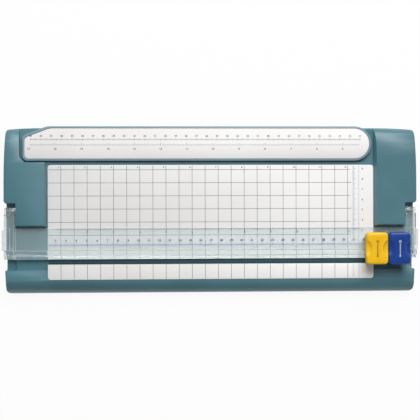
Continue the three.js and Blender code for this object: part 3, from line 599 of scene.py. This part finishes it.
def print_on(name, bm, ink, body):
    """Makes the gathered ink one piece."""
    mesh = bpy.data.meshes.new(name)
    bm.to_mesh(mesh)
    bm.free()
    mesh.materials.append(ink)
    made = bpy.data.objects.new(name, mesh)
    scene.collection.objects.link(made)
    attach(made, body)
    print(name, len(mesh.polygons), "faces")
    return made


# %% [markdown]
# ## The table's print
#
# Half-inch squares, 25 across the table, start at the cutting line. A rule in inches runs along the back
# edge, and a centimetre rule stands along the right margin and counts from the cutting line.

# %% Grid and rules of the table
HALF_INCH = 12.7
wheel_low, wheel_high = place_of("cut_wheel")
cut_y = (wheel_low.y + wheel_high.y) / 2
grid_columns = 23
line_width = 0.36
bm = bmesh.new()
grid_right = table_low.x + grid_columns * HALF_INCH
for n in range(1, grid_columns + 1):
    x = table_low.x + n * HALF_INCH
    ink_line(bm, (x, table_low.y), (x, table_high.y - 0.6), line_width, table_high.z)
for k in range(2, 8):
    y = cut_y + k * HALF_INCH
    ink_line(bm, (table_low.x + 0.4, y), (grid_right + 2.5, y), line_width, table_high.z)
print_on("table_grid_print", bm, grid_ink, "base")

bm = bmesh.new()
for n in range(1, grid_columns + 1):
    x = table_low.x + n * HALF_INCH
    ink_line(bm, (x, front_low.y + 0.4), (x, front_high.y), line_width, front_high.z)
print_on("front_grid_print", bm, grid_ink, "base")

bm = bmesh.new()
for i in range(1, 13):
    ink_number(bm, i, table_low.x + (2 * i - 1) * HALF_INCH - 2.2, table_high.y - 2.4, table_high.z, 1.5)
print_on("table_inch_numbers", bm, scale_ink, "base")

bm = bmesh.new()
rule_x = table_high.x - 14.4
for mm in range(22, 93):
    reach = 3.4 if mm % 10 == 0 else 2.6 if mm % 5 == 0 else 1.7
    y = cut_y + mm
    ink_line(bm, (rule_x - 6.2, y), (rule_x - 6.2 + reach, y), 0.3, table_high.z)
for mm in range(-16, -3):
    ink_line(bm, (rule_x - 6.2, cut_y + mm), (rule_x - 4.4, cut_y + mm), 0.2, front_high.z)
ink_line(bm, (rule_x, table_low.y), (rule_x, table_high.y - 0.8), 0.25, table_high.z)
ink_line(bm, (rule_x, front_low.y + 0.6), (rule_x, front_high.y), 0.25, front_high.z)
print_on("table_side_rule_print", bm, blue_ink, "base")

bm = bmesh.new()
for cm in range(3, 10):
    ink_number(bm, cm, rule_x + 3.5, cut_y + 10 * cm - 0.5, table_high.z, 1.8)
for i in range(2, 4):
    ink_number(bm, i, rule_x - 8.1, cut_y + 2 * HALF_INCH * i, table_high.z, 1.2)
print_on("table_side_rule_numbers", bm, scale_ink, "base")

# %% [markdown]
# ## The ruler arm's print
#
# Swung straight back, the arm measures long sheets, so its rules give the distance from the cutting line:
# centimetres along the outer edge and inches along the inner one.

# %% Rules of the ruler arm
ruler_low, ruler_high = place_of("ruler_plate")
ZERO = 255.2  # X of the rules' zero, in mm
top = ruler_high.z
mm_row = ruler_low.y + 18.5
inch_row = ruler_low.y + 12.6
bm = bmesh.new()
for mm in range(110, 431):
    reach = 2.4 if mm % 10 == 0 else 1.8 if mm % 5 == 0 else 1.2
    x = ZERO - mm
    ink_line(bm, (x, mm_row - reach / 2), (x, mm_row + reach / 2), 0.35, top)
print_on("ruler_millimetre_print", bm, scale_ink, "ruler")

bm = bmesh.new()
for sixteenth in range(70, 272):
    reach = 2.6 if sixteenth % 16 == 0 else 1.9 if sixteenth % 8 == 0 else 1.3
    x = ZERO - sixteenth * HALF_INCH / 8
    ink_line(bm, (x, inch_row), (x, inch_row + reach), 0.35, top)
for cm in range(11, 44):
    ink_number(bm, cm, ZERO - 10 * cm, mm_row + 3.3, top, 1.8)
for inch in range(5, 18):
    ink_number(bm, inch, ZERO - 2 * HALF_INCH * inch, inch_row - 3.3, top, 1.9)
print_on("ruler_inch_print", bm, scale_ink, "ruler")

# %% [markdown]
# ## The clear arm's print
#
# The clear arm carries its own inch and centimetre rules, which lie over the paper while it is cut.

# %% Rules of the clear arm
guide_low = place_of("guide_arm")[0]
PANEL_THICK = 2.4
PANEL_GAP = 0.6  # from the table to the clear panel
panel_top = table_high.z + PANEL_GAP + PANEL_THICK
inch_top = guide_low.y + 29.4  # upper ends of the inch ticks
mm_foot = guide_low.y + 13
inch_zero = table_low.x - HALF_INCH
bm = bmesh.new()
for sixteenth in range(14, 200):
    x = inch_zero + sixteenth * HALF_INCH / 8
    if x > table_high.x:
        break
    reach = 2.0 if sixteenth % 16 == 0 else 1.6 if sixteenth % 8 == 0 else 1.1
    ink_line(bm, (x, inch_top - reach), (x, inch_top), 0.45, panel_top)
for inch in range(1, 13):
    ink_number(bm, inch, inch_zero + 2 * HALF_INCH * inch, inch_top - 3.6, panel_top, 1.7)
print_on("guide_inch_print", bm, dark_ink, "guide")

bm = bmesh.new()
for mm in range(13, 329):
    reach = 2.4 if mm % 10 == 0 else 1.9 if mm % 5 == 0 else 1.3
    x = inch_zero + 0.4 + mm
    ink_line(bm, (x, mm_foot), (x, mm_foot + reach), 0.45, panel_top)
print_on("guide_millimetre_print", bm, blue_ink, "guide")

bm = bmesh.new()
for cm in range(2, 33):
    ink_number(bm, cm, inch_zero + 0.4 + 10 * cm, mm_foot + 4.85, panel_top, 2.1)
print_on("guide_centimetre_numbers", bm, dark_ink, "guide")

# %% [markdown]
# ## The marks on the carriages
#
# Each cap has a raised strip with a plain ring and a row of dashes pad printed on it, dark on the yellow cap
# and pale on the blue one. The ring is a thin square section turned round its middle.

# %% Marks on the caps
def ink_ring(bm, x, y, z, outer, inner, corners=24):
    """A closed flat ring of ink round x, y."""
    loops = []
    for radius, height in ((outer, z), (outer, z + INK), (inner, z + INK), (inner, z)):
        loop = []
        for i in range(corners):
            turn = 2 * math.pi * i / corners
            spot = (x + radius * math.cos(turn), y + radius * math.sin(turn), height)
            loop.append(bm.verts.new(Vector(spot) * MM))
        loops.append(loop)
    for a in range(4):
        low, high = loops[a], loops[(a + 1) % 4]
        for i in range(corners):
            j = (i + 1) % corners
            bm.faces.new((low[i], low[j], high[j], high[i]))


for kind, ink in (("cut", dark_ink), ("score", pale_ink)):
    low, high = place_of(kind + "_label")
    x = (low.x + high.x) / 2
    bm = bmesh.new()
    ink_ring(bm, x, high.y - 2.4, high.z, 1.25, 0.6)
    y = high.y - 4.6
    while y > low.y + 2.4:
        ink_bar(bm, x - 0.55, x + 0.55, y - 0.9, y, high.z)
        y -= 1.4
    ink_ring(bm, x, low.y + 1.6, high.z, 0.9, 0.35)
    print_on(kind + "_label_print", bm, ink, body_of[kind + "_label"])
